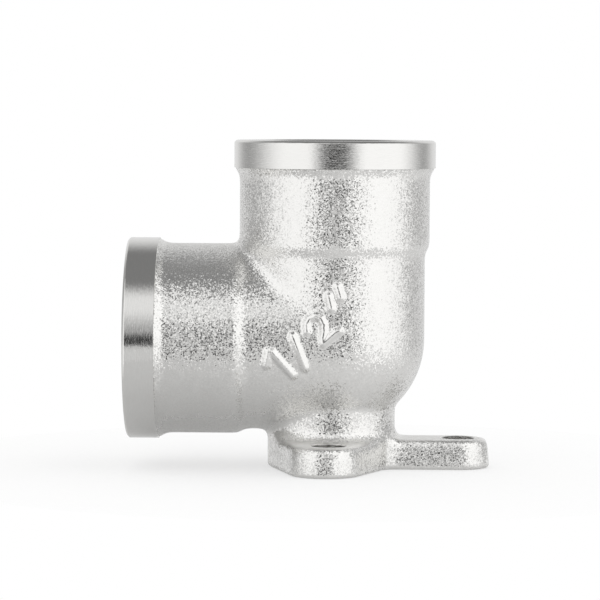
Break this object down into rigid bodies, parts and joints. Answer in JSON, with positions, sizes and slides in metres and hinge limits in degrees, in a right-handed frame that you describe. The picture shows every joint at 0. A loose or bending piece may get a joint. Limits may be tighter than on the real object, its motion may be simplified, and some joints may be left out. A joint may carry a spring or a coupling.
{
  "type": "wall plate elbow",
  "caption": "Right-angle pipe elbow with a threaded socket at each end, forged in one with a lugged base plate that screws to a wall.",
  "frame": {"origin": "where the outlet socket's axis meets the mounting face of the base plate", "axes": "+Z along the outlet axis, away from the mounting face; -X along the inlet axis, out of its mouth"},
  "size_m": [0.0489, 0.0326, 0.0441],
  "materials": {
    "nickel_plate": "nickel-plated brass, blasted grain on the forging and fine turning lines on the collars"
  },
  "bodies": {
    "root": {"elbow_body": "nickel_plate"}
  },
  "joints": []
}
